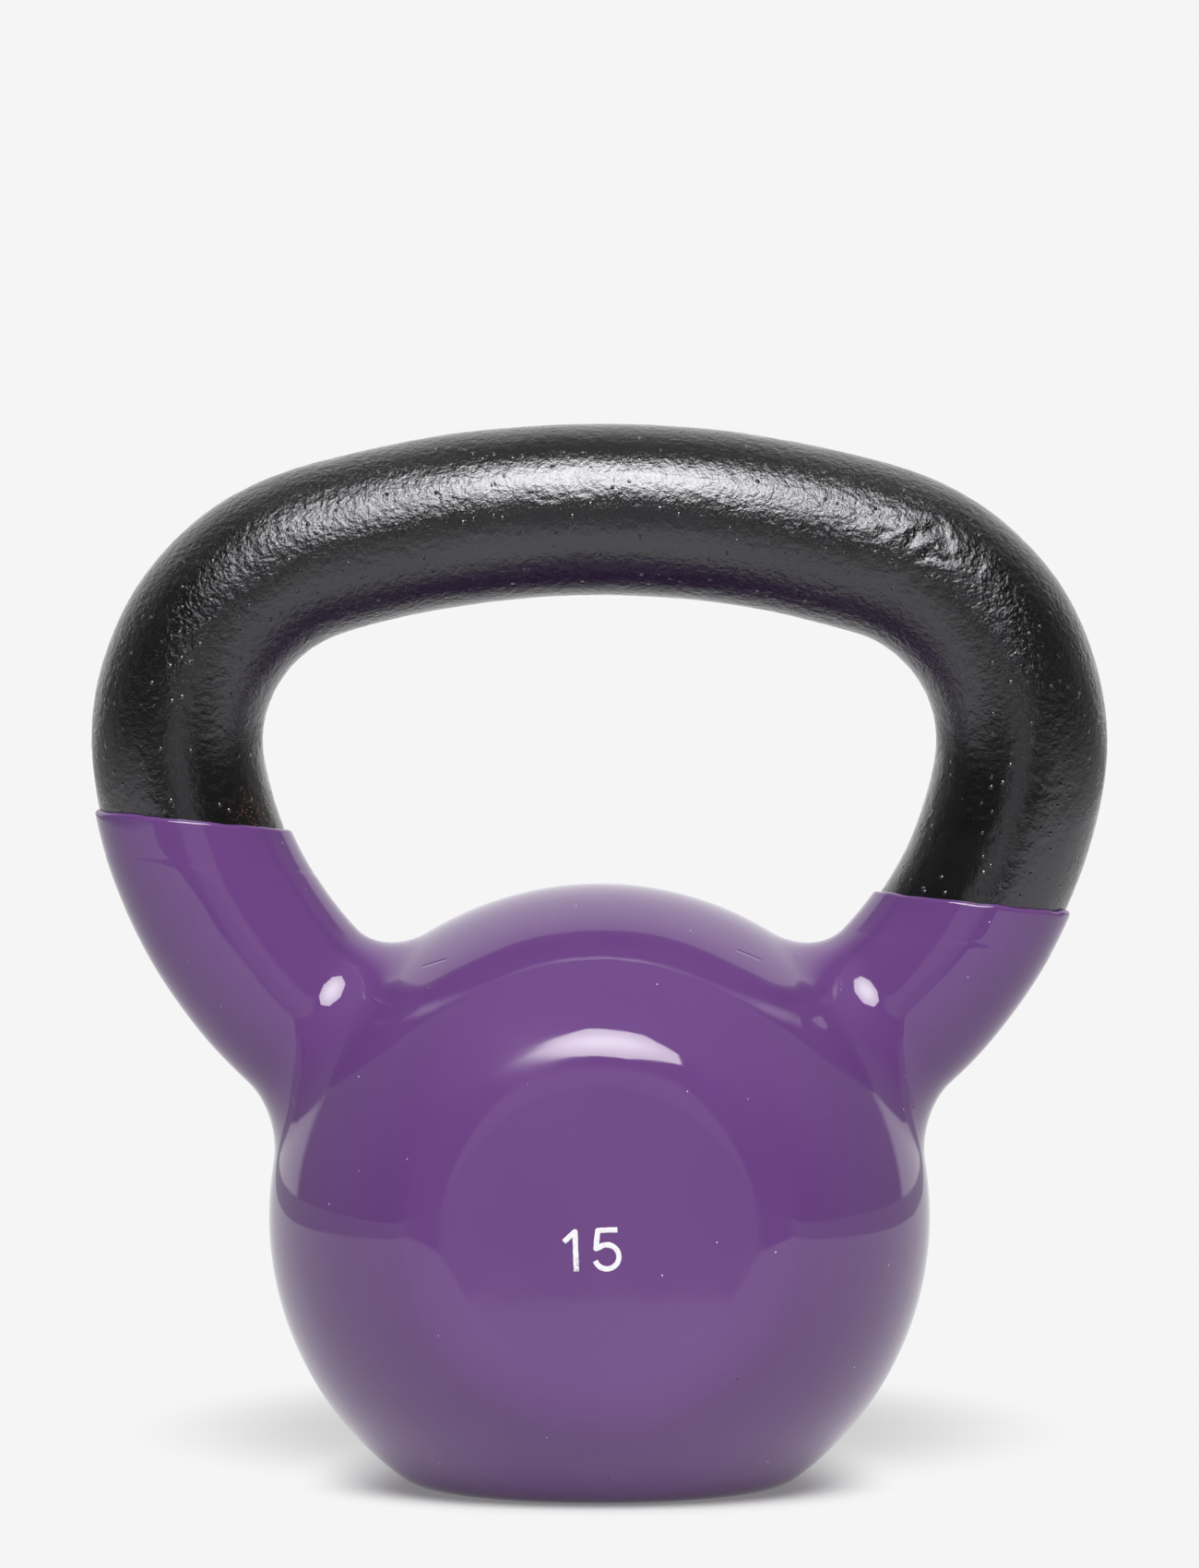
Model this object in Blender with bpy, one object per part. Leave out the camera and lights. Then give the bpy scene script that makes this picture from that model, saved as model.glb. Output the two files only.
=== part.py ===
"""A 15 lb kettlebell: an iron casting, a vinyl jacket dipped on over its ball, and the weight printed on the front.

Metres, +Z up. The origin is the centre of the base, on the floor. The numerals face -Y and the handle runs along X.
The casting's skin is one smooth field, a ball with flats blended into a bent round bar. The meshes are laid out
with spins and a bridge, and then their points are settled onto that field.
"""

from math import cos, pi, radians, sin

import bmesh
import bpy
import numpy as np
from mathutils import Matrix, Vector

# Vinyl jacket
VINYL_WALL = 0.0010
FIT_GAP = 0.0003  # between the iron and the vinyl, so that the two solids stay apart
DIP_HEIGHT = 0.1095  # of the jacket's edge above the floor, midway between the horns
DIP_SLOPE = (-0.105, -0.061)  # rise of that edge along +X and along +Y: the ball went into the dip tilted

# Iron casting, without its jacket
BALL_RADIUS = 0.0567
BALL_HEIGHT = 0.0475  # its centre above the floor
BALL_SQUASH = 1.017  # the lower half is this much flatter than a true ball
BALL_STRETCH = 0.992  # and the upper half this much taller
FLAT_DEPTH = 0.0475  # from the middle plane to the front flat, and to the back one
FLAT_ROUNDING = 0.0015
BASE_ROUNDING = 0.0006
BASE_HEIGHT = VINYL_WALL + FIT_GAP
HANDLE_RADIUS = 0.0150
HANDLE_TOP = 0.1716  # centreline height at the middle of the grip
BENDS = ((0.1695, 16.9), (0.0348, 100.2), (0.0753, 150.0))  # radius, and degrees below level where it ends
HORN_FILLET = 0.0092

# Printed numerals
INK_THICKNESS = 0.0003
INK_GAP = 0.0001
STROKE = 0.0009
CORNER_REACH = 0.65 * STROKE  # of a stroke's sharpest corner, from its middle line
NUMERAL_MIDDLE = 0.0459  # above the floor
NUMERAL_TILT = radians(2)
ONE_X, FIVE_X = -0.0044, 0.0013

# Mesh layout
SEGMENT = radians(6)  # of the ball, about Y
RINGS = tuple(map(radians, (0, 6, 12, 18, 25, 32, 39, 46, 51.5, 54, 56.5, 60)))  # latitudes, towards the front
HORN_FIRST, HORN_LAST = radians(36), radians(72)  # where a horn meets the ball, measured from straight up
HORN_LATITUDE = radians(18)
HORN_SIDES = 24
ROOT_SLOPE = 131.0  # degrees below level at the last ring of the bar, just clear of the ball
STATION = 0.006  # between rings of the bar
BASE_FLAT_RADIUS = 0.0280  # just inside the rounded edge, under the jacket too
BASE_EDGE_RADIUS = 0.0317
RELAX_REACH = 0.030  # round each horn's root, where the ball's square mesh turns into the bar's round one
RELAX_ROUNDS = 6
SNAP = 0.0010  # points this close to a cut are moved onto it


def bend_arcs():
    """Centre (x, z), radius, first and last angle from straight up, of each bend on the +X side."""
    x, z, start = 0.0, HANDLE_TOP, 0.0
    for radius, end in BENDS:
        end = radians(end)
        centre = (x - radius * sin(start), z - radius * cos(start))
        yield centre, radius, start, end
        x, z, start = centre[0] + radius * sin(end), centre[1] + radius * cos(end), end


def blend(a, b, reach):
    """The union of two fields, with a fillet of this radius where they meet squarely."""
    inside = np.minimum(a, b)
    return np.maximum(reach, inside) - np.hypot(np.maximum(reach - a, 0), np.maximum(reach - b, 0))


def cut(a, b, reach):
    """What two fields have in common, with its edge rounded."""
    return -blend(-a, -b, reach)


def casting_field(points):
    """About how far each point lies outside the casting's skin."""
    x, y, z = np.abs(points[:, 0]), points[:, 1], points[:, 2]
    rise = z - BALL_HEIGHT
    rise = rise * np.where(rise < 0, BALL_SQUASH, BALL_STRETCH)
    ball = np.sqrt(x**2 + y**2 + rise**2) - BALL_RADIUS
    ball = cut(ball, np.abs(y) - FLAT_DEPTH, FLAT_ROUNDING)
    ball = cut(ball, BASE_HEIGHT - z, BASE_ROUNDING)
    bar = np.full(len(points), np.inf)
    for (centre_x, centre_z), radius, start, end in bend_arcs():
        angle = np.clip(np.arctan2(x - centre_x, z - centre_z), start, end)
        near_x, near_z = centre_x + radius * np.sin(angle), centre_z + radius * np.cos(angle)
        bar = np.minimum(bar, np.sqrt((x - near_x) ** 2 + y**2 + (z - near_z) ** 2) - HANDLE_RADIUS)
    return blend(ball, bar, HORN_FILLET)


def settle(bm, height_of):
    """Moves every point to the level height_of(field value) of the casting's field."""
    points = np.array([vert.co for vert in bm.verts], dtype=float)
    level = height_of(casting_field(points))
    step = 1e-6
    for _ in range(12):
        slope = np.stack(
            [casting_field(points + nudge) - casting_field(points - nudge) for nudge in np.eye(3) * step],
            axis=1,
        ) / (2 * step)
        miss = casting_field(points) - level
        points -= (miss / (slope**2).sum(axis=1))[:, None] * slope
    for vert, point in zip(bm.verts, points):
        vert.co = point


def everything(bm):
    return bm.verts[:] + bm.edges[:] + bm.faces[:]


def add_ball_quarter(bm):
    """The ball's quarter at +X and -Y: a half profile spun about Y, from straight up round to straight down."""
    outline = [Vector((0, -BALL_RADIUS * sin(a), BALL_HEIGHT + BALL_RADIUS * cos(a))) for a in RINGS]
    outline.append(Vector((0, -FLAT_DEPTH, BALL_HEIGHT)))
    verts = [bm.verts.new(point) for point in outline]
    edges = [bm.edges.new(pair) for pair in zip(verts, verts[1:])]
    bmesh.ops.spin(
        bm,
        geom=verts + edges,
        cent=(0, 0, BALL_HEIGHT),
        axis=(0, 1, 0),
        angle=pi,
        steps=round(pi / SEGMENT),
        use_duplicate=False,
    )
    bmesh.ops.remove_doubles(bm, verts=bm.verts, dist=1e-6)


def open_horn_root(bm):
    """Takes out the faces under the horn and returns the edges left round the hole."""
    inside = []
    for face in bm.faces:
        middle = face.calc_center_median() - Vector((0, 0, BALL_HEIGHT))
        across = (middle.x**2 + middle.z**2) ** 0.5
        from_top = np.arctan2(middle.x, middle.z)
        if HORN_FIRST < from_top < HORN_LAST and -middle.y < across * np.tan(HORN_LATITUDE):
            inside.append(face)
    rim = []
    for edge in {edge for face in inside for edge in face.edges}:
        if len(edge.link_faces) == 2 and len(set(edge.link_faces) - set(inside)) == 1:
            rim.append(edge)
    bmesh.ops.delete(bm, geom=inside, context="FACES")
    return rim


def add_bar_quarter(bm):
    """Half of the bar's round section, spun along each bend in turn. Returns the edges of its last ring."""
    ring = []
    for side in range(HORN_SIDES // 2 + 1):
        turn = 2 * pi * side / HORN_SIDES
        offset = Vector((0, -HANDLE_RADIUS * sin(turn), HANDLE_RADIUS * cos(turn)))
        ring.append(bm.verts.new(Vector((0, 0, HANDLE_TOP)) + offset))
    last = ring + [bm.edges.new(pair) for pair in zip(ring, ring[1:])]
    for (centre_x, centre_z), radius, start, end in bend_arcs():
        end = min(end, radians(ROOT_SLOPE))
        made = bmesh.ops.spin(
            bm,
            geom=last,
            cent=(centre_x, 0, centre_z),
            axis=(0, 1, 0),
            angle=end - start,
            steps=round(radius * (end - start) / STATION),
            use_duplicate=False,
        )
        last = made["geom_last"]
    return [item for item in last if isinstance(item, bmesh.types.BMEdge)]


def mirror(bm, axis):
    bmesh.ops.mirror(bm, geom=everything(bm), axis=axis, merge_dist=1e-6)


def flatten_base(bm):
    """Cuts the ball off at the base and closes it with a round face, set in from the rounded edge."""
    for vert in bm.verts:
        if abs(vert.co.z - BASE_HEIGHT) < SNAP:
            vert.co.z = BASE_HEIGHT
    cut_made = bmesh.ops.bisect_plane(
        bm,
        geom=everything(bm),
        plane_co=(0, 0, BASE_HEIGHT),
        plane_no=(0, 0, -1),
        dist=1e-6,
        clear_outer=True,
    )
    rim = [item for item in cut_made["geom_cut"] if isinstance(item, bmesh.types.BMEdge)]
    base = bmesh.ops.contextual_create(bm, geom=rim)["faces"][0]
    make_round(base, BASE_EDGE_RADIUS)
    bmesh.ops.inset_region(bm, faces=[base], thickness=SNAP)
    make_round(base, BASE_FLAT_RADIUS)


def make_round(face, radius):
    """Moves a face's corners straight out or in to one radius about Z."""
    for vert in face.verts:
        outward = Vector((vert.co.x, vert.co.y, 0)).normalized()
        vert.co = outward * radius + Vector((0, 0, vert.co.z))


def relax_roots(bm):
    """Evens out the mesh where the horns leave the ball."""
    middle = (HORN_FIRST + HORN_LAST) / 2
    for side in (-1, 1):
        root = Vector((side * BALL_RADIUS * sin(middle), 0, BALL_HEIGHT + BALL_RADIUS * cos(middle)))
        near = [vert for vert in bm.verts if (vert.co - root).length < RELAX_REACH]
        bmesh.ops.smooth_vert(bm, verts=near, factor=0.5, use_axis_x=True, use_axis_y=True, use_axis_z=True)


def casting_skin():
    """The casting's whole closed skin."""
    bm = bmesh.new()
    add_ball_quarter(bm)
    root = open_horn_root(bm)
    bmesh.ops.bridge_loops(bm, edges=root + add_bar_quarter(bm))
    mirror(bm, "X")
    mirror(bm, "Y")
    flatten_base(bm)
    bmesh.ops.recalc_face_normals(bm, faces=bm.faces)
    settle(bm, np.zeros_like)
    for _ in range(RELAX_ROUNDS):
        relax_roots(bm)
        settle(bm, np.zeros_like)
    return bm


def dip_height(point):
    """How far a point lies above the jacket's edge."""
    return point.z - DIP_HEIGHT - DIP_SLOPE[0] * point.x - DIP_SLOPE[1] * point.y


def jacket_shell():
    """The casting's skin up to the edge of the dip, thickened outwards."""
    bm = casting_skin()
    for vert in bm.verts:
        above = dip_height(vert.co)
        if abs(above) < SNAP:
            vert.co.z -= above
    bmesh.ops.bisect_plane(
        bm,
        geom=everything(bm),
        plane_co=(0, 0, DIP_HEIGHT),
        plane_no=(-DIP_SLOPE[0], -DIP_SLOPE[1], 1),
        dist=1e-6,
        clear_outer=True,
    )
    bmesh.ops.solidify(bm, geom=bm.faces[:], thickness=-VINYL_WALL)
    bmesh.ops.recalc_face_normals(bm, faces=bm.faces)
    middle = VINYL_WALL / 2
    settle(bm, lambda value: np.where(value > middle, FIT_GAP + VINYL_WALL, FIT_GAP))
    return bm


def enamel():
    return finish("black_enamel", (0.012, 0.011, 0.012, 1), roughness=0.28, metallic=0.0)


def vinyl():
    return finish("purple_vinyl", (0.165, 0.072, 0.240, 1), roughness=0.30, metallic=0.0)


def ink():
    return finish("white_ink", (0.85, 0.84, 0.86, 1), roughness=0.55, metallic=0.0)


def finish(name, colour, roughness, metallic):
    material = bpy.data.materials.new(name)
    material.use_nodes = True
    shader = material.node_tree.nodes["Principled BSDF"]
    shader.inputs["Base Color"].default_value = colour
    shader.inputs["Roughness"].default_value = roughness
    shader.inputs["Metallic"].default_value = metallic
    material.diffuse_color = colour
    return material


def add_mesh(name, bm, material, collection):
    mesh = bpy.data.meshes.new(name)
    bm.to_mesh(mesh)
    bm.free()
    mesh.shade_smooth()
    mesh.set_sharp_from_angle(angle=radians(32))
    mesh.materials.append(material)
    obj = bpy.data.objects.new(name, mesh)
    collection.objects.link(obj)
    return obj


def arc(centre, radius, first, last, count):
    """Points on an arc, its angles in degrees counted from +X towards +Y."""
    turns = np.radians(np.linspace(first, last, count))
    return [Vector((centre[0] + radius * cos(turn), centre[1] + radius * sin(turn))) for turn in turns]


def stroke_outline(path):
    """The outline of a stroke of constant width along a path, with square ends and blunted corners."""
    path = [Vector(point) for point in path]
    left, right = [], []
    for before, here, after in zip([None] + path, path, path[1:] + [None]):
        arrive = (here - before).normalized() if before else (after - here).normalized()
        leave = (after - here).normalized() if after else arrive
        side = Vector((-arrive.y - leave.y, arrive.x + leave.x)).normalized()
        reach = min(STROKE / 2 / side.dot(Vector((-arrive.y, arrive.x))), CORNER_REACH)
        left.append(here + side * reach)
        right.append(here - side * reach)
    return left + right[::-1]


def figure_one():
    """A short flag and a stem, about the numerals' middle height."""
    return [(-0.0015, 0.0015), (0.0003, 0.0030), (0.0003, -0.0038)]


def figure_five():
    """A top bar, a stem that leans a little, and a round bowl, about the numerals' middle height."""
    bar_and_stem = [(0.0019, 0.0033), (-0.0015, 0.0033), (-0.0019, 0.0002)]
    return bar_and_stem + arc((-0.0001, -0.0013), 0.0021, 124, -163, 19)


def add_numeral(name, path, centre_x, material, collection):
    """A numeral lying flat against the front of the jacket."""
    outline = bpy.data.curves.new(name, "CURVE")
    outline.dimensions = "2D"
    outline.fill_mode = "BOTH"
    outline.extrude = INK_THICKNESS / 2
    points = stroke_outline(path)
    spline = outline.splines.new("POLY")
    spline.points.add(len(points) - 1)
    spline.use_cyclic_u = True
    for slot, point in zip(spline.points, points):
        slot.co = (point.x, point.y, 0, 1)
    outline.materials.append(material)
    obj = bpy.data.objects.new(name, outline)
    face = FLAT_DEPTH + FIT_GAP + VINYL_WALL
    place = Matrix.Translation((centre_x, -face - INK_GAP - INK_THICKNESS / 2, NUMERAL_MIDDLE))
    obj.matrix_world = place @ Matrix.Rotation(-NUMERAL_TILT, 4, "Y") @ Matrix.Rotation(pi / 2, 4, "X")
    collection.objects.link(obj)
    return obj


def main():
    for obj in list(bpy.data.objects):
        bpy.data.objects.remove(obj, do_unlink=True)
    collection = bpy.data.collections.new("kettlebell")
    bpy.context.scene.collection.children.link(collection)
    add_mesh("cast_iron_body", casting_skin(), enamel(), collection)
    add_mesh("vinyl_jacket", jacket_shell(), vinyl(), collection)
    white = ink()
    add_numeral("numeral_1", figure_one(), ONE_X, white, collection)
    add_numeral("numeral_5", figure_five(), FIVE_X, white, collection)


main()
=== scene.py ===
"""A vinyl-dipped cast iron kettlebell, in a pale studio. Metres, +Z up, the numerals facing -Y."""

from itertools import product
from math import cos, pi, radians, sin, tan

import bmesh
import bpy
import numpy as np
from mathutils import Matrix, Vector


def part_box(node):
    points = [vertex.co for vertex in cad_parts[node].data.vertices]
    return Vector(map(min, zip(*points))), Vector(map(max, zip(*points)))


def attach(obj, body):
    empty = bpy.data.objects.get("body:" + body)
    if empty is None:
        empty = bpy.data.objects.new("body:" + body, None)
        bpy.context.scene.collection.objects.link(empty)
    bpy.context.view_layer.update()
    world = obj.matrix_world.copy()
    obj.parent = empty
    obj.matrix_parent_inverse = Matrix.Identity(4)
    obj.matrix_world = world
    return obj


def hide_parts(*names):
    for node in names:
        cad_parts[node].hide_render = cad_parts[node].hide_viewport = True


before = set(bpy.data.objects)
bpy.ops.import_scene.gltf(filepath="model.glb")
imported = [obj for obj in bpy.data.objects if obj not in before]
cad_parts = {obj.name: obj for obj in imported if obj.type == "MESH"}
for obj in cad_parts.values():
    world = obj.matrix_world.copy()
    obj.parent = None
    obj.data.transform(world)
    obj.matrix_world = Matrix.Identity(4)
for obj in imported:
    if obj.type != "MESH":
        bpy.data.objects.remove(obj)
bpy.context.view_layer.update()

iron_low, iron_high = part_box("cast_iron_body")
coat_low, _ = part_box("vinyl_jacket")

# The casting's skin, as in the CAD model
BALL_RADIUS = 0.0567
BALL_HEIGHT = 0.0475
BALL_SQUASH = 1.017  # the lower half is this much flatter than a true ball
BALL_STRETCH = 0.992  # and the upper half this much taller
FLAT_DEPTH = iron_high.y
FLAT_ROUNDING = 0.0015
BASE_ROUNDING = 0.0006
BASE_HEIGHT = iron_low.z
HANDLE_RADIUS = 0.0150
HANDLE_TOP = iron_high.z - HANDLE_RADIUS
BENDS = ((0.1695, 16.9), (0.0348, 100.2), (0.0753, 150.0))  # radius, and degrees below level where it ends
HORN_FILLET = 0.0092

# The vinyl jacket
COAT = iron_low.y - coat_low.y  # from the iron to the vinyl's outer face
LINER = 0.0003  # from the iron to its inner face
DIP_HEIGHT = 0.1095  # of its edge above the floor, midway between the horns
DIP_SLOPE = np.array((-0.105, -0.061))  # rise of that edge along +X and along +Y
LIP_ROUNDING = 0.0008
LIP_BITE = 0.0001  # how far the lip's inner edge sinks into the enamel, which leaves no gap
FIRST_DIP_DROP = 0.0076  # a fainter edge this far below the lip
FIRST_DIP_STEP = 0.00006
COLLAR_TAPER = 0.025  # how fast the vinyl thins from there up to the lip

# Mesh layout
ROOT_ANGLE = radians(131)  # of the bar's last round ring, just clear of the ball
HOLE = (36, 72, 18)  # degrees: where a horn meets the ball, from straight up, and half its width


def bend_arcs():
    """Centre (x, z), radius, first and last angle from straight up, of each bend on the +X side."""
    x, z, start = 0.0, HANDLE_TOP, 0.0
    for radius, end in BENDS:
        end = radians(end)
        centre = (x - radius * sin(start), z - radius * cos(start))
        yield centre, radius, start, end
        x, z, start = centre[0] + radius * sin(end), centre[1] + radius * cos(end), end


def blend(a, b, reach):
    """The union of two fields, with a fillet of this radius where they meet squarely."""
    inside = np.minimum(a, b)
    return np.maximum(reach, inside) - np.hypot(np.maximum(reach - a, 0), np.maximum(reach - b, 0))


def cut(a, b, reach):
    """What two fields have in common, with its edge rounded."""
    return -blend(-a, -b, reach)


def casting_field(points):
    """About how far each point lies outside the casting's skin."""
    x, y, z = np.abs(points[:, 0]), points[:, 1], points[:, 2]
    rise = z - BALL_HEIGHT
    rise = rise * np.where(rise < 0, BALL_SQUASH, BALL_STRETCH)
    ball = np.sqrt(x**2 + y**2 + rise**2) - BALL_RADIUS
    ball = cut(ball, np.abs(y) - FLAT_DEPTH, FLAT_ROUNDING)
    ball = cut(ball, BASE_HEIGHT - z, BASE_ROUNDING)
    bar = np.full(len(points), np.inf)
    for (centre_x, centre_z), radius, start, end in bend_arcs():
        angle = np.clip(np.arctan2(x - centre_x, z - centre_z), start, end)
        near_x, near_z = centre_x + radius * np.sin(angle), centre_z + radius * np.cos(angle)
        bar = np.minimum(bar, np.sqrt((x - near_x) ** 2 + y**2 + (z - near_z) ** 2) - HANDLE_RADIUS)
    return blend(ball, bar, HORN_FILLET)


def settle(points, level_of, rounds=10):
    """Moves points straight out or in to the level of the casting's field that level_of gives each."""
    step = 1e-6
    for _ in range(rounds):
        nudges = np.eye(3) * step
        slope = np.stack([casting_field(points + n) - casting_field(points - n) for n in nudges], axis=1)
        slope /= 2 * step
        miss = casting_field(points) - level_of(points)
        points = points - (miss / (slope**2).sum(axis=1))[:, None] * slope
    return points


def lumps(points, size, seed):
    """Smooth random hills and hollows about this far across, from about -1 to 1."""
    table = np.random.default_rng(seed).standard_normal((4096, 3))
    cell = points / size + 500.5
    base = np.floor(cell).astype(np.int64)
    within = cell - base
    fade = within**3 * (within * (within * 6 - 15) + 10)
    total = np.zeros(len(points))
    for corner in product((0, 1), repeat=3):
        keys = (base + corner) * (73856093, 19349663, 83492791)
        slope = table[np.bitwise_xor.reduce(keys, axis=1) & 4095]
        share = np.where(corner, fade, 1 - fade).prod(axis=1)
        total += share * (slope * (within - corner)).sum(axis=1)
    return total


def near(points, middle, reach):
    """1 at a point, easing to 0 about twice as far away as reach."""
    return np.exp(-(((points - middle) / reach) ** 2).sum(axis=1))


class Skin:
    """Points and faces gathered into one mesh."""

    def __init__(self):
        self.points = []
        self.faces = []

    def add(self, points):
        """Adds an array of points and gives their numbers in the same arrangement."""
        shape = points.shape[:-1]
        first = len(self.points)
        self.points.extend(points.reshape(-1, 3))
        return np.arange(first, len(self.points)).reshape(shape)

    def quads(self, rows):
        """Joins each ring of points to the next with square faces."""
        for low, high in zip(rows, rows[1:]):
            self.faces.extend(zip(low, np.roll(low, -1), np.roll(high, -1), high))

    def double(self, few, many):
        """Joins a ring to one with twice as many points."""
        for k, here in enumerate(few):
            after = few[(k + 1) % len(few)]
            near_one, middle, far_one = many[2 * k], many[2 * k + 1], many[(2 * k + 2) % len(many)]
            self.faces.extend(((here, middle, near_one), (here, after, middle), (after, far_one, middle)))

    def settle(self, numbers, level_of):
        flat = numbers.reshape(-1)
        moved = settle(np.array([self.points[n] for n in flat]), level_of)
        for number, point in zip(flat, moved):
            self.points[number] = point

    def piece(self, name):
        mesh = bpy.data.meshes.new(name)
        faces = [tuple(map(int, face)) for face in self.faces]
        mesh.from_pydata([tuple(point) for point in self.points], [], faces)
        bm = bmesh.new()
        bm.from_mesh(mesh)
        bmesh.ops.recalc_face_normals(bm, faces=bm.faces)
        bm.to_mesh(mesh)
        bm.free()
        mesh.shade_smooth()
        obj = bpy.data.objects.new(name, mesh)
        bpy.context.scene.collection.objects.link(obj)
        return obj


def steps(first, last, longest):
    """Evenly spaced values with gaps no longer than this."""
    return np.linspace(first, last, max(2, round(abs(last - first) / longest) + 1))


def add_ball(skin, step, rim_step, flat_step):
    """The ball as rings about Y, without its two holes. Gives the rims of the +X and the -X horn's hole."""
    turns = np.radians(np.arange(0, 360, step))
    round_part = np.arange(0, 54.1, step)
    rim_part = steps(54, 58.5, rim_step)[1:]
    latitudes = np.radians(np.concatenate([round_part, rim_part]))
    reach, depth = BALL_RADIUS * np.cos(latitudes), BALL_RADIUS * np.sin(latitudes)
    flat = steps(reach[-1], flat_step, flat_step)[1:]
    reach = np.concatenate([reach, flat])
    depth = np.concatenate([depth, np.full(len(flat), FLAT_DEPTH)])
    reach = np.concatenate([reach[:0:-1], reach])
    depth = np.concatenate([-depth[:0:-1], depth])
    points = np.stack(
        [
            reach[:, None] * np.sin(turns),
            np.broadcast_to(depth[:, None], (len(reach), len(turns))),
            BALL_HEIGHT + reach[:, None] * np.cos(turns),
        ],
        axis=-1,
    )
    grid = skin.add(points)
    middle = len(reach) // 2
    first, last, half = (round(value / step) for value in HOLE)
    low, high = middle - half, middle + half
    count = len(turns)
    for i in range(len(reach) - 1):
        for j in range(count):
            from_top = min(j, count - 1 - j)
            if low <= i < high and first <= from_top < last:
                continue
            k = (j + 1) % count
            skin.faces.append((grid[i, j], grid[i, k], grid[i + 1, k], grid[i + 1, j]))
    for ring, y in ((grid[0], -FLAT_DEPTH), (grid[-1], FLAT_DEPTH)):
        pole = skin.add(np.array([0, y, BALL_HEIGHT]))
        skin.faces.extend((a, b, int(pole)) for a, b in zip(ring, np.roll(ring, -1)))
    return [hole_rim(grid, side, first, last, low, high) for side in (1, -1)]


def hole_rim(grid, side, first, last, low, high):
    """The points round a horn's hole, from its outer, back corner by way of the outer, front one."""
    outer = [(i, last) for i in range(high, low, -1)]
    front = [(low, j) for j in range(last, first, -1)]
    inner = [(i, first) for i in range(low, high)]
    back = [(high, j) for j in range(first, last)]
    return np.array([grid[i, side * j] for i, j in outer + front + inner + back])


def round_angles(count):
    """Angles round the bar's section, from its outer side towards -Y, that match a hole's rim."""
    return -pi / 4 + 2 * pi * np.arange(count) / count


def bar_points(angle, turn, side, lift=0.0):
    """Points on the bar, angle below level along it and turn round its section, on the last bend."""
    *_, (centre, radius, _, _) = bend_arcs()
    reach = radius + (HANDLE_RADIUS + lift) * np.cos(turn)
    return np.stack(
        [
            side * (centre[0] + reach * np.sin(angle)),
            -(HANDLE_RADIUS + lift) * np.sin(turn) + 0 * reach,
            centre[1] + reach * np.cos(angle),
        ],
        axis=-1,
    )


def neck(skin, rim, side, rows):
    """Rings from a hole's rim up to the bar's first round ring."""
    start = np.array([skin.points[n] for n in rim])
    end = bar_points(ROOT_ANGLE, round_angles(len(rim)), side)
    share = np.linspace(0, 1, rows + 1)[1:, None, None]
    return skin.add(start * (1 - share) + end * share)


def dip_edge(turn, side):
    """The angle along the last bend where the jacket's lip lies, for each turn round the bar."""
    ring = HANDLE_RADIUS * np.stack([np.cos(turn), np.sin(turn), 0 * turn + side], axis=-1)
    wobble = 0.00022 * lumps(ring, 0.007, 4) + 0.00022 * lumps(ring, 0.0035, 5)
    tick = 0.00060 * np.exp(-((np.remainder(turn + pi, 2 * pi) - pi - 0.1) ** 2) / 0.06)
    low, high = np.full(len(turn), radians(100)), np.full(len(turn), ROOT_ANGLE)
    for _ in range(40):
        angle = (low + high) / 2
        above = below_lip(bar_points(angle, turn, side)) + wobble + tick < 0
        low, high = np.where(above, angle, low), np.where(above, high, angle)
    return (low + high) / 2


def below_lip(points):
    """How far points lie below the plane of the jacket's edge."""
    return DIP_HEIGHT + points[:, :2] @ DIP_SLOPE - points[:, 2]


def ease(value, start, end):
    """0 up to start, 1 from end on, smooth between."""
    share = np.clip((value - start) / (end - start), 0, 1)
    return share * share * (3 - 2 * share)


def coat_level(points):
    """The vinyl's outer face: the first dip's edge, and the slight waves that it set in."""
    below = below_lip(points) + 0.0005 * lumps(points, 0.012, 7)
    step = FIRST_DIP_STEP * (ease(below, FIRST_DIP_DROP - 0.0003, FIRST_DIP_DROP + 0.0004) - 1)
    step += COLLAR_TAPER * np.minimum(below - FIRST_DIP_DROP, 0)
    groove = -0.00004 * np.exp(-(((below - FIRST_DIP_DROP) / 0.0004) ** 2))
    horn = ease(np.abs(points[:, 0]), 0.030, 0.050) * ease(points[:, 2], 0.055, 0.070)
    waves = (0.00003 + 0.00006 * horn) * lumps(points, 0.013, 11)
    waves += 0.00010 * horn * lumps(points, 0.024, 12)
    keep_flat = ease(points[:, 2], 0.0015, 0.006)
    front = ease(FLAT_DEPTH + COAT - np.abs(points[:, 1]), 0.0001, 0.0030)
    return COAT + step * horn + groove * horn + waves * keep_flat * front


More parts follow.
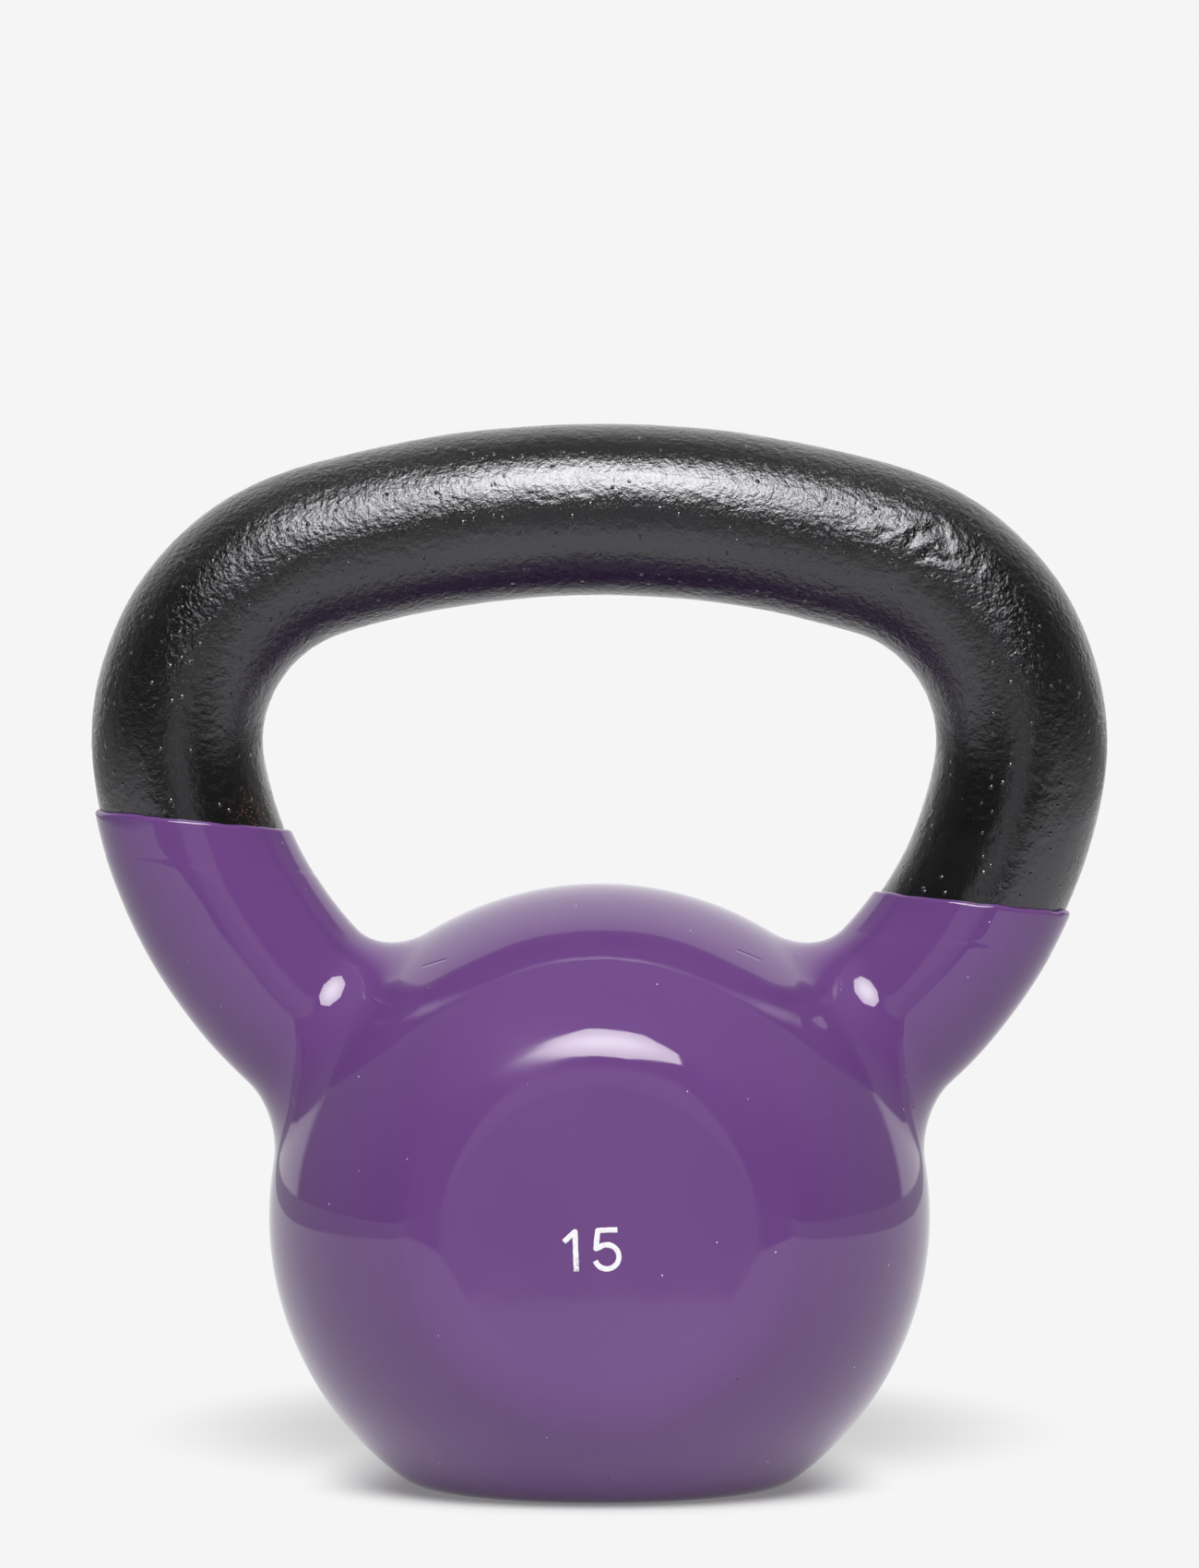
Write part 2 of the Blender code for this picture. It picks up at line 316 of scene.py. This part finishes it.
def jacket():
    skin = Skin()
    outer_rims = add_ball(skin, 1.5, 0.3, 0.0008)
    outer_count = len(skin.points)
    inner_rims = add_ball(skin, 1.5, 1.2, 0.008)
    skin.settle(np.arange(outer_count), coat_level)
    skin.settle(np.arange(outer_count, len(skin.points)), lambda points: LINER)
    for side, outer, inner in zip((1, -1), outer_rims, inner_rims):
        turn = round_angles(len(outer))
        edge = dip_edge(turn, side)
        outer_neck = neck(skin, outer, side, 20)
        skin.settle(outer_neck, coat_level)
        skin.quads([outer, *outer_neck])
        *_, (_, radius, _, _) = bend_arcs()
        path = radius + HANDLE_RADIUS * np.cos(turn)
        rows = [outer_neck[-1]]
        full = edge + LIP_ROUNDING / path
        for share in np.linspace(0, 1, 96)[1:]:
            ring = skin.add(bar_points(ROOT_ANGLE + (full - ROOT_ANGLE) * share, turn, side))
            skin.settle(ring, coat_level)
            rows.append(ring)
        top_level = coat_level(np.array([skin.points[n] for n in rows[-1]]))
        for corner in np.radians((75, 60, 45, 30, 15, 0)):
            drop = LIP_ROUNDING * (1 - cos(corner))
            level = top_level - LIP_ROUNDING * (1 - sin(corner))
            ring = skin.add(bar_points(edge + drop / path, turn, side, 0.0008))
            skin.settle(ring, lambda points, level=level: level)
            rows.append(ring)
        for drop, level in ((0.00001, -LIP_BITE), (0.0008, -LIP_BITE), (0.0025, LINER), (0.0045, LINER)):
            ring = skin.add(bar_points(edge + drop / path, turn, side))
            skin.settle(ring, lambda points, level=level: level)
            rows.append(ring)
        deep = edge + drop / path
        for share in np.linspace(0, 1, 8)[1:]:
            ring = skin.add(bar_points(deep + (ROOT_ANGLE - deep) * share, turn, side))
            skin.settle(ring, lambda points: LINER)
            rows.append(ring)
        inner_neck = neck(skin, inner, side, 6)
        skin.settle(inner_neck[:-1], lambda points: LINER)
        rows += [*inner_neck[:-1][::-1], inner]
        skin.quads(rows)
    return skin.piece("dipped_vinyl_jacket")


def iron_relief(points):
    """Sand-cast skin under enamel: orange peel, slow hollows, a scabbed patch, and a few pits."""
    peel = 0.000030 * lumps(points, 0.0017, 21) + 0.000016 * lumps(points, 0.0011, 22)
    hollows = 0.00011 * lumps(points, 0.011, 23)
    scab = near(points, (0.056, -0.011, 0.1665), (0.012, 0.009, 0.008))
    ridges = 0.00055 * scab * (0.3 - np.abs(lumps(points * (1, 1, 1.4), 0.0044, 24)))
    relief = 1.2 * peel + hollows + ridges
    pits = (
        ((0.0430, -0.0105, 0.1513), 0.0011, -0.00035),
        ((0.0729, -0.0135, 0.1460), 0.0012, 0.00028),
        ((0.0735, -0.0138, 0.1445), 0.0008, -0.00025),
        ((0.0600, -0.0125, 0.1315), 0.0014, -0.00022),
        ((0.0512, -0.0128, 0.1625), 0.0009, 0.00022),
    )
    for middle, reach, height in pits:
        relief += height * near(points, middle, reach)
    return relief


def casting():
    skin = Skin()
    rims = add_ball(skin, 6, 2.0, 0.009)
    skin.settle(np.arange(len(skin.points)), lambda points: 0.0)
    rings = {}
    for side, rim in zip((1, -1), rims):
        coarse = neck(skin, rim, side, 4)
        skin.settle(coarse[:-1], lambda points: 0.0)
        skin.quads([rim, *coarse])
        ring = coarse[-1]
        for angle in (129.6, 128.4, 127.4):
            finer = skin.add(bar_points(radians(angle), round_angles(2 * len(ring)), side))
            skin.double(ring, finer)
            ring = finer
        rings[side] = ring
    turn = round_angles(len(rings[1]))
    rows = []
    for station in steps(*grip_reach(radians(127.0)), 0.00056):
        rows.append(skin.add(grip_points(station, turn)))
    skin.settle(np.array(rows), iron_relief)
    skin.quads([rings[-1], *rows, rings[1]])
    return skin.piece("enamelled_casting")


def grip_reach(last_angle):
    """How far along the bar, from the middle of the grip, this angle is on each side."""
    length = sum(radius * (min(end, last_angle) - start) for _, radius, start, end in bend_arcs())
    return -length, length


def grip_points(station, turn):
    """A ring round the bar, this far along it from the middle of the grip."""
    left = abs(station)
    side = -1 if station < 0 else 1
    for centre, radius, start, end in bend_arcs():
        angle = start + left / radius
        if angle <= end:
            break
        left -= radius * (end - start)
    reach = radius + HANDLE_RADIUS * np.cos(turn)
    return np.stack(
        [
            side * (centre[0] + reach * sin(angle)),
            -HANDLE_RADIUS * np.sin(turn),
            centre[1] + reach * cos(angle),
        ],
        axis=-1,
    )


# Numerals: middle lines in metres about their own middle, close to the CAD model's
STROKE = 0.00092
NUMERAL_MIDDLE = 0.0459
NUMERAL_TILT = radians(2)
INK_CELL = 0.00006
INK_THICKNESS = 0.00008


def arc(centre, radius, first, last, count):
    turns = np.radians(np.linspace(first, last, count))
    return [(centre[0] + radius * cos(turn), centre[1] + radius * sin(turn)) for turn in turns]


def figure_one():
    return [(-0.0017, 0.0013), (0.0003, 0.0030), (0.0003, -0.0038)]


def figure_five():
    bar_and_stem = [(0.0019, 0.0033), (-0.0015, 0.0033), (-0.0019, 0.0002)]
    return bar_and_stem + arc((-0.0001, -0.0013), 0.0021, 124, -163, 19)


def ink_field(points, path, seed):
    """How far each point of a plane lies outside a stroke with square ends, drawn along a path."""
    nearest = np.full(len(points), np.inf)
    for start, end in zip(path, path[1:]):
        along = end - start
        share = np.clip(((points - start) @ along) / (along @ along), 0, 1)
        nearest = np.minimum(nearest, np.hypot(*(points - start - share[:, None] * along).T))
    field = nearest - STROKE / 2
    for tip, inner in ((path[0], path[1]), (path[-1], path[-2])):
        beyond = (points - tip) @ (tip - inner) / np.hypot(*(tip - inner))
        close = np.hypot(*(points - tip).T) < STROKE
        field = np.where(close, np.maximum(field, beyond), field)
    plane = np.column_stack([points, np.zeros(len(points))])
    return field + 0.00005 * lumps(plane, 0.0011, seed) + 0.00002 * lumps(plane, 0.00035, seed + 1)


def numeral(name, path, centre_x, seed):
    """A printed figure: a thin film of ink whose edge follows the stroke's."""
    path = np.array(path)
    low, high = path.min(axis=0) - STROKE, path.max(axis=0) + STROKE
    across, up = (np.arange(a, b, INK_CELL) for a, b in zip(low, high))
    grid = np.stack(np.meshgrid(across, up, indexing="ij"), axis=-1)
    middles = (grid[:-1, :-1] + INK_CELL / 2).reshape(-1, 2)
    inside = (ink_field(middles, path, seed) < 0).reshape(len(across) - 1, len(up) - 1)
    points = grid.reshape(-1, 2)
    numbers = np.arange(len(points)).reshape(len(across), len(up))
    cells = np.argwhere(inside)
    corners = np.stack(
        [numbers[cells[:, 0] + i, cells[:, 1] + j] for i, j in ((0, 0), (1, 0), (1, 1), (0, 1))], axis=1
    )
    used, faces = np.unique(corners, return_inverse=True)
    faces = faces.reshape(corners.shape)
    flat = points[used]
    ends = np.concatenate([faces[:, [0, 1]], faces[:, [1, 2]], faces[:, [2, 3]], faces[:, [3, 0]]])
    _, first, times = np.unique(np.sort(ends, axis=1), axis=0, return_index=True, return_counts=True)
    rim = ends[first[times == 1]]
    edge = np.unique(rim)
    for _ in range(6):
        nudges = np.eye(2) * 1e-6
        here = flat[edge]
        slope = [ink_field(here + n, path, seed) - ink_field(here - n, path, seed) for n in nudges]
        slope = np.stack(slope, axis=1) / 2e-6
        flat[edge] = here - (ink_field(here, path, seed) / (slope**2).sum(axis=1))[:, None] * slope
    depth = np.clip(-ink_field(flat, path, seed) / 0.00012, 0, 1)
    top = INK_THICKNESS * (0.35 + 0.65 * np.sqrt(depth))
    place = Matrix.Translation((centre_x, coat_low.y, NUMERAL_MIDDLE))
    place = place @ Matrix.Rotation(-NUMERAL_TILT, 4, "Y") @ Matrix.Rotation(pi / 2, 4, "X")
    count = len(flat)
    points = np.concatenate([np.column_stack([flat, top]), np.column_stack([flat, np.zeros(count)])])
    skin = Skin()
    skin.add(points)
    skin.faces = [tuple(face) for face in faces] + [tuple(count + face[::-1]) for face in faces]
    skin.faces += [(b, a, a + count, b + count) for a, b in rim]
    obj = skin.piece(name)
    obj.data.transform(place)
    return obj


# Materials


def new_material(name):
    material = bpy.data.materials.new(name)
    material.use_nodes = True
    return material, material.node_tree, material.node_tree.nodes["Principled BSDF"]


def node(tree, kind, inputs=(), **settings):
    """Adds a node, with its settings, and its inputs as values or links."""
    made = tree.nodes.new(kind)
    for name, value in settings.items():
        setattr(made, name, value)
    for key, value in dict(inputs).items():
        if isinstance(value, bpy.types.NodeSocket):
            tree.links.new(value, made.inputs[key])
        else:
            made.inputs[key].default_value = value
    return made


def maths(tree, operation, a, b=0.0):
    return node(tree, "ShaderNodeMath", {0: a, 1: b}, operation=operation).outputs[0]


def place_of(tree):
    return node(tree, "ShaderNodeTexCoord").outputs["Object"]


def noise(tree, place, size, detail=2.0, roughness=0.5):
    """Noise with features about this far across."""
    inputs = {"Vector": place, "Scale": 1 / size, "Detail": detail, "Roughness": roughness}
    return node(tree, "ShaderNodeTexNoise", inputs).outputs["Fac"]


def between(tree, value, low, high, to_low=0.0, to_high=1.0):
    """Maps low to high onto another range, and holds it there."""
    inputs = {"Value": value, "From Min": low, "From Max": high, "To Min": to_low, "To Max": to_high}
    return node(tree, "ShaderNodeMapRange", inputs, interpolation_type="SMOOTHSTEP").outputs["Result"]


def mixed(tree, share, a, b):
    made = node(tree, "ShaderNodeMix", {"Factor": share, 6: a, 7: b}, data_type="RGBA")
    return made.outputs[2]


def bump(tree, height, distance, under=None):
    inputs = {"Height": height, "Distance": distance, "Strength": 1.0}
    if under is not None:
        inputs["Normal"] = under
    return node(tree, "ShaderNodeBump", inputs).outputs["Normal"]


def ball_mask(tree, place, middle, reach):
    """1 at a place, easing to 0 this far from it."""
    distance = node(tree, "ShaderNodeVectorMath", {0: place, 1: middle}, operation="DISTANCE")
    return between(tree, distance.outputs["Value"], reach, 0.0)


def dots(tree, place, spacing, radius, kept, core=0.6):
    """Small round specks, level out to this share of their radius and kept in this share of the cells."""
    cells = node(tree, "ShaderNodeTexVoronoi", {"Vector": place, "Scale": 1 / spacing})
    inside = between(tree, cells.outputs["Distance"], radius / spacing, core * radius / spacing)
    pick = node(tree, "ShaderNodeSeparateColor", {0: cells.outputs["Color"]}).outputs[0]
    return maths(tree, "MULTIPLY", inside, maths(tree, "LESS_THAN", pick, kept))


def on_coat(x, z):
    """The place on the front of the jacket with this x and z."""
    y = np.linspace(coat_low.y, 0, 400)
    line = np.column_stack([0 * y + x, y, 0 * y + z])
    return Vector(line[np.argmax(casting_field(line) < COAT)])


def crease(tree, place, route, width):
    """1 along a thin line over the front of the jacket, through these places, each an x and a z."""
    ends = [on_coat(x, z) for x, z in route]
    nearest = 1.0
    for start, end in zip(ends, ends[1:]):
        along = end - start
        past = node(tree, "ShaderNodeVectorMath", {0: place, 1: start}, operation="SUBTRACT").outputs[0]
        direction = along / along.length_squared
        share = node(tree, "ShaderNodeVectorMath", {0: past, 1: direction}, operation="DOT_PRODUCT")
        share = maths(tree, "MAXIMUM", maths(tree, "MINIMUM", share.outputs["Value"], 1.0), 0.0)
        foot = node(tree, "ShaderNodeVectorMath", {0: along, "Scale": share}, operation="SCALE").outputs[0]
        distance = node(tree, "ShaderNodeVectorMath", {0: past, 1: foot}, operation="DISTANCE")
        nearest = maths(tree, "MINIMUM", nearest, distance.outputs["Value"])
    return between(tree, nearest, width, 0.0)


WRINKLES = (  # raised lines on the vinyl, beside the tops of the horns' roots
    ((-0.0420, 0.0919), (-0.0405, 0.0879), (-0.0383, 0.0864), (-0.0366, 0.0858)),
    ((0.0425, 0.0916), (0.0416, 0.0905), (0.0421, 0.0885)),
)
SLITS = (  # sunk lines: over the ball's shoulders, and where the horns' outer sides meet it
    ((-0.0306, 0.0927), (-0.0269, 0.0940)),
    ((0.0241, 0.0956), (0.0278, 0.0940)),
    ((-0.0505, 0.0770), (-0.0534, 0.0683)),
    ((0.0533, 0.0730), (0.0547, 0.0680)),
)


def vinyl_material():
    """Glossy dipped PVC, with smears, dust, pits with painted shade in them, and a few creases."""
    material, tree, shader = new_material("purple_vinyl")
    place = place_of(tree)
    cloud = between(tree, noise(tree, place, 0.035, 3.0), 0.3, 0.7)
    colour = mixed(tree, cloud, (0.113, 0.0435, 0.180, 1), (0.124, 0.0485, 0.190, 1))
    dust = dots(tree, place, 0.0048, 0.00017, 0.5)
    pits = dots(tree, place, 0.0075, 0.00026, 0.22)
    colour = mixed(tree, dust, colour, (0.75, 0.70, 0.80, 1))
    # Painted shade: the pits take a dark copy of the vinyl's colour, standing in for the shade inside them.
    colour = mixed(tree, pits, colour, (0.03, 0.012, 0.05, 1))
    smear = between(tree, noise(tree, place, 0.012, 4.0, 0.6), 0.42, 0.75, 0.030, 0.10)
    haze = maths(tree, "MULTIPLY", ball_mask(tree, place, (-0.0170, coat_low.y, 0.0830), 0.018), 0.22)
    tree.links.new(colour, shader.inputs["Base Color"])
    tree.links.new(maths(tree, "ADD", smear, haze), shader.inputs["Roughness"])
    relief = maths(tree, "MULTIPLY", noise(tree, place, 0.0030, 2.0), 0.1)
    relief = maths(tree, "ADD", relief, maths(tree, "SUBTRACT", dust, pits))
    for route in WRINKLES:
        relief = maths(tree, "ADD", relief, crease(tree, place, route, 0.0005))
    for route in SLITS:
        relief = maths(tree, "SUBTRACT", relief, crease(tree, place, route, 0.0006))
    tree.links.new(bump(tree, relief, 0.00008), shader.inputs["Normal"])
    shader.inputs["IOR"].default_value = 1.55
    return material


def enamel_material():
    """Thick gloss black over a sand-cast skin: crinkled, beaded, and rusting at the lip on one side."""
    material, tree, shader = new_material("black_enamel")
    place = place_of(tree)
    patches = between(tree, noise(tree, place, 0.020, 3.0), 0.35, 0.7)
    colour = mixed(tree, patches, (0.0042, 0.0039, 0.0043, 1), (0.0075, 0.0070, 0.0076, 1))
    grains = between(tree, noise(tree, place, 0.00045, 3.0, 0.6), 0.55, 0.63)
    rust_place = ball_mask(tree, place, (-0.0580, -0.011, 0.1180), 0.0085)
    rust = maths(tree, "MULTIPLY", grains, rust_place)
    colour = mixed(tree, rust, colour, (0.16, 0.075, 0.036, 1))
    tree.links.new(colour, shader.inputs["Base Color"])
    rough = between(tree, noise(tree, place, 0.0050, 4.0, 0.6), 0.3, 0.75, 0.05, 0.13)
    rough = maths(tree, "ADD", rough, maths(tree, "MULTIPLY", rust, 0.4))
    tree.links.new(rough, shader.inputs["Roughness"])
    crinkle = noise(tree, place, 0.0011, 4.0, 0.65)
    fold = maths(tree, "ABSOLUTE", maths(tree, "SUBTRACT", noise(tree, place, 0.0026, 2.0), 0.5))
    relief = maths(tree, "SUBTRACT", crinkle, fold)
    beads = dots(tree, place, 0.0017, 0.00045, 0.35, 0.0)
    pinholes = dots(tree, place, 0.0042, 0.00028, 0.35)
    drops = maths(tree, "SUBTRACT", beads, pinholes)
    x, _, z = node(tree, "ShaderNodeSeparateXYZ", {0: place}).outputs
    off_middle = between(tree, maths(tree, "ABSOLUTE", x), 0.010, 0.040, 0.60, 1.0)
    off_legs = between(tree, z, 0.120, 0.155, 0.45, 1.0)
    relief = maths(tree, "MULTIPLY", relief, maths(tree, "MULTIPLY", off_legs, off_middle))
    normal = bump(tree, relief, 0.00026)
    normal = bump(tree, drops, 0.00017, normal)
    tree.links.new(normal, shader.inputs["Normal"])
    shader.inputs["IOR"].default_value = 1.78
    shader.inputs["Specular Tint"].default_value = (0.94, 0.94, 1.0, 1.0)
    return material


def ink_material():
    material, tree, shader = new_material("white_ink")
    place = place_of(tree)
    thin = between(tree, noise(tree, place, 0.0007, 3.0, 0.6), 0.50, 0.66)
    foot = ball_mask(tree, place, (-0.0042, coat_low.y, NUMERAL_MIDDLE - 0.0032), 0.0022)
    worn = maths(tree, "MULTIPLY", thin, maths(tree, "ADD", 0.25, foot))
    colour = mixed(tree, worn, (0.76, 0.75, 0.79, 1), (0.38, 0.33, 0.46, 1))
    tree.links.new(colour, shader.inputs["Base Color"])
    rough = between(tree, noise(tree, place, 0.0015, 2.0), 0.3, 0.7, 0.45, 0.62)
    tree.links.new(rough, shader.inputs["Roughness"])
    tree.links.new(bump(tree, thin, 0.00002), shader.inputs["Normal"])
    return material


# Studio

PAPER = 0.914  # how bright the plain surround looks
SHEET_LIGHT = 0.75  # from the white sheet behind and overhead
ROOM_LIGHT = 0.04  # from the darkest parts of the room
CEILING_LIGHT = 0.30
SIDE_LIGHT = 0.27  # from the walls beside and behind the object
WALL_LIGHT = 0.52  # from the pale wall behind the camera
FLOOR_LIFT = 0.19  # light that comes through the pale sheet underneath
TABLE_FRONT = 0.46  # how far the bright table reaches in front, and to each side
TABLE_SIDE = 0.54
SHADOW_STRETCH = 0.45  # the contact shadow reaches further behind the ball, by one over this
REAR_SHADOW = (0.10, 0.09, 0.12)  # a broad faint one: how far behind, half its width, half its length
WALL_HALF_WIDTH = 0.25  # of the pale wall behind the camera, over its distance
SHEET_HALF_WIDTH = 1.11  # of the backdrop, over its distance
CANOPY_HALF_WIDTH = 1.2  # of its part overhead, over its height
CANOPY_EDGE = 0.30  # how far behind the object its front edge begins, over its height
SOFTBOX_SIDES = 8
RIM_SHARE = 0.65  # of the softbox's brightness, at its rim


def softbox(elevation, azimuth, distance, radius, strength, turn):
    """An eight-sided lamp that faces the ball, dimmer towards its rim."""
    aim = Vector((0, 0, 0.07))
    e, a = radians(elevation), radians(azimuth)
    toward = Vector((sin(a) * cos(e), -cos(a) * cos(e), sin(e)))
    bm = bmesh.new()
    bmesh.ops.create_circle(bm, cap_ends=True, segments=SOFTBOX_SIDES, radius=radius)
    bmesh.ops.rotate(bm, verts=bm.verts, matrix=Matrix.Rotation(radians(turn), 3, "Z"))
    mesh = bpy.data.meshes.new("softbox")
    bm.to_mesh(mesh)
    bm.free()
    lamp = bpy.data.objects.new("softbox", mesh)
    lamp.location = aim + toward * distance
    lamp.rotation_mode = "QUATERNION"
    lamp.rotation_quaternion = toward.to_track_quat("Z", "Y")
    bpy.context.scene.collection.objects.link(lamp)
    material, tree, shader = new_material("softbox")
    tree.nodes.remove(shader)
    out = node(tree, "ShaderNodeVectorMath", {0: place_of(tree)}, operation="LENGTH").outputs["Value"]
    level = between(tree, out, 0.15 * radius, 0.95 * radius, strength, RIM_SHARE * strength)
    glow = node(tree, "ShaderNodeEmission", {"Color": (1, 0.995, 0.965, 1), "Strength": level})
    tree.links.new(glow.outputs[0], tree.nodes["Material Output"].inputs["Surface"])
    mesh.materials.append(material)
    lamp.visible_camera = False
    lamp.visible_shadow = False


def hypotenuse(tree, a, b):
    squares = [maths(tree, "POWER", side, 2.0) for side in (a, b)]
    return maths(tree, "SQRT", maths(tree, "ADD", *squares))


def camera_ray(tree):
    return node(tree, "ShaderNodeLightPath").outputs["Is Camera Ray"]


def table_light(tree, x, y):
    """How bright the table and the floor beyond it are. The camera sees it all as plain paper."""
    before = maths(tree, "MULTIPLY", y, -1.0)
    aside = maths(tree, "ABSOLUTE", x)
    forward = maths(tree, "DIVIDE", before, aside)
    under_wall = between(tree, forward, 3.0, 5.0, 0.0, 0.28)
    beyond = maths(tree, "ADD", under_wall, between(tree, forward, 0.5, 1.3, 0.45, 0.12))
    across = maths(tree, "DIVIDE", aside, TABLE_SIDE)
    out = maths(tree, "MAXIMUM", across, maths(tree, "DIVIDE", before, TABLE_FRONT))
    table = maths(tree, "MAXIMUM", camera_ray(tree), between(tree, out, 1.04, 0.96))
    gain = maths(tree, "MULTIPLY", table, maths(tree, "SUBTRACT", PAPER, beyond))
    return maths(tree, "ADD", beyond, gain)


def rear_shade(tree, x, y):
    """The broad shadow behind the object: what is left of the light."""
    behind, half_width, half_length = REAR_SHADOW
    along = maths(tree, "DIVIDE", maths(tree, "SUBTRACT", y, behind), half_length)
    out = hypotenuse(tree, maths(tree, "DIVIDE", x, half_width), along)
    return between(tree, out, 0.45, 1.0, 0.68, 1.0)


def floor():
    """A pale sheet: dark where the ball meets it with painted contact shadow, with a broad painted shadow
    behind, as bright as the plain surround a little way off.
    """
    bm = bmesh.new()
    bmesh.ops.create_grid(bm, x_segments=1, y_segments=1, size=4.0)
    mesh = bpy.data.meshes.new("floor")
    bm.to_mesh(mesh)
    bm.free()
    obj = bpy.data.objects.new("floor", mesh)
    bpy.context.scene.collection.objects.link(obj)
    material, tree, shader = new_material("floor")
    x, y, _ = node(tree, "ShaderNodeSeparateXYZ", {0: place_of(tree)}).outputs
    in_front, behind = (maths(tree, "MULTIPLY", y, share) for share in (-1.0, SHADOW_STRETCH))
    away = hypotenuse(tree, x, maths(tree, "MAXIMUM", in_front, behind))
    # Painted shade: the sheet's colour is darker close round the ball's base, standing in for its contact
    # shadow.
    painted_contact_shade = between(tree, away, 0.026, 0.044)
    pale = mixed(tree, painted_contact_shade, (0.42, 0.42, 0.42, 1), (0.54, 0.54, 0.54, 1))
    tree.links.new(pale, shader.inputs["Base Color"])
    shader.inputs["Emission Strength"].default_value = FLOOR_LIFT
    shader.inputs["Emission Color"].default_value = (1, 1, 1, 1)
    shader.inputs["Roughness"].default_value = 0.9
    shader.inputs["Specular IOR Level"].default_value = 0.0
    bright = maths(tree, "MULTIPLY", table_light(tree, x, y), rear_shade(tree, x, y))
    glow = node(tree, "ShaderNodeEmission", {"Color": (1, 1, 1, 1), "Strength": bright})
    clear = between(tree, away, 0.034, 0.054)
    both = node(tree, "ShaderNodeMixShader", {0: clear, 1: shader.outputs[0], 2: glow.outputs[0]})
    tree.links.new(both.outputs[0], tree.nodes["Material Output"].inputs["Surface"])
    mesh.materials.append(material)


def sheet_light(tree, x, y, z):
    """The white sheet hung behind and curved over the object, by direction."""
    behind = maths(tree, "MULTIPLY", y, SHEET_HALF_WIDTH)
    overhead = maths(tree, "MULTIPLY", z, CANOPY_HALF_WIDTH)
    inside = maths(tree, "SUBTRACT", maths(tree, "MAXIMUM", behind, overhead), maths(tree, "ABSOLUTE", x))
    edge = maths(tree, "SUBTRACT", y, maths(tree, "MULTIPLY", z, CANOPY_EDGE))
    share = maths(tree, "MULTIPLY", between(tree, inside, -0.06, 0.06), between(tree, edge, -0.02, 0.50))
    return maths(tree, "MULTIPLY", share, SHEET_LIGHT)


def room_light(tree, x, y, z):
    """A dim room with a paler ceiling and sides, and a pale wall behind the camera, by direction."""
    ceiling = between(tree, z, 0.4, 1.0, ROOM_LIGHT, CEILING_LIGHT)
    sides = between(tree, y, -0.4, 0.3, 0.75 * ROOM_LIGHT, SIDE_LIGHT)
    aside = maths(tree, "ADD", maths(tree, "ABSOLUTE", x), maths(tree, "MULTIPLY", y, WALL_HALF_WIDTH))
    across_wall = between(tree, aside, 0.03, -0.03, 0.0, WALL_LIGHT)
    wall = maths(tree, "MULTIPLY", across_wall, between(tree, z, 0.40, 0.25))
    return maths(tree, "MAXIMUM", maths(tree, "MAXIMUM", ceiling, sides), wall)


def surround():
    """What lies around the object. The camera sees plain paper."""
    world = bpy.data.worlds.new("studio")
    bpy.context.scene.world = world
    world.use_nodes = True
    tree = world.node_tree
    tree.nodes.clear()
    way = node(tree, "ShaderNodeTexCoord").outputs["Generated"]
    x, y, z = node(tree, "ShaderNodeSeparateXYZ", {0: way}).outputs
    light = maths(tree, "ADD", sheet_light(tree, x, y, z), room_light(tree, x, y, z))
    studio = node(tree, "ShaderNodeBackground", {"Color": (1, 1, 1, 1), "Strength": light})
    paper = node(tree, "ShaderNodeBackground", {"Color": (1, 1, 1, 1), "Strength": PAPER})
    backdrops = {0: camera_ray(tree), 1: studio.outputs[0], 2: paper.outputs[0]}
    both = node(tree, "ShaderNodeMixShader", backdrops)
    output = node(tree, "ShaderNodeOutputWorld")
    tree.links.new(both.outputs[0], output.inputs["Surface"])


CAMERA_DISTANCE = 2.163
CAMERA_HEIGHT = 0.230
CAMERA_TILT = 2.82  # degrees below level
FIELD_OF_VIEW = 7.26  # degrees, over the picture's longer side
SENSOR = 36.0


def camera():
    data = bpy.data.cameras.new("camera")
    data.sensor_width = SENSOR
    data.lens = SENSOR / 2 / tan(radians(FIELD_OF_VIEW) / 2)
    data.clip_start, data.clip_end = 0.05, 50.0
    obj = bpy.data.objects.new("camera", data)
    obj.location = (0, -CAMERA_DISTANCE, CAMERA_HEIGHT)
    obj.rotation_euler = (radians(90 - CAMERA_TILT), 0, 0)
    bpy.context.scene.collection.objects.link(obj)
    bpy.context.scene.camera = obj


def dress(piece, material, node_name):
    piece.data.materials.append(material)
    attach(piece, "root")
    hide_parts(node_name)


camera()
dress(casting(), enamel_material(), "cast_iron_body")
dress(jacket(), vinyl_material(), "vinyl_jacket")
white_ink = ink_material()
dress(numeral("printed_one", figure_one(), -0.0044, 31), white_ink, "numeral_1")
dress(numeral("printed_five", figure_five(), 0.0013, 41), white_ink, "numeral_5")
floor()
softbox(elevation=48.5, azimuth=2, distance=1.6, radius=0.60, strength=14.0, turn=10)
surround()
bpy.context.scene.view_settings.view_transform = "Standard"
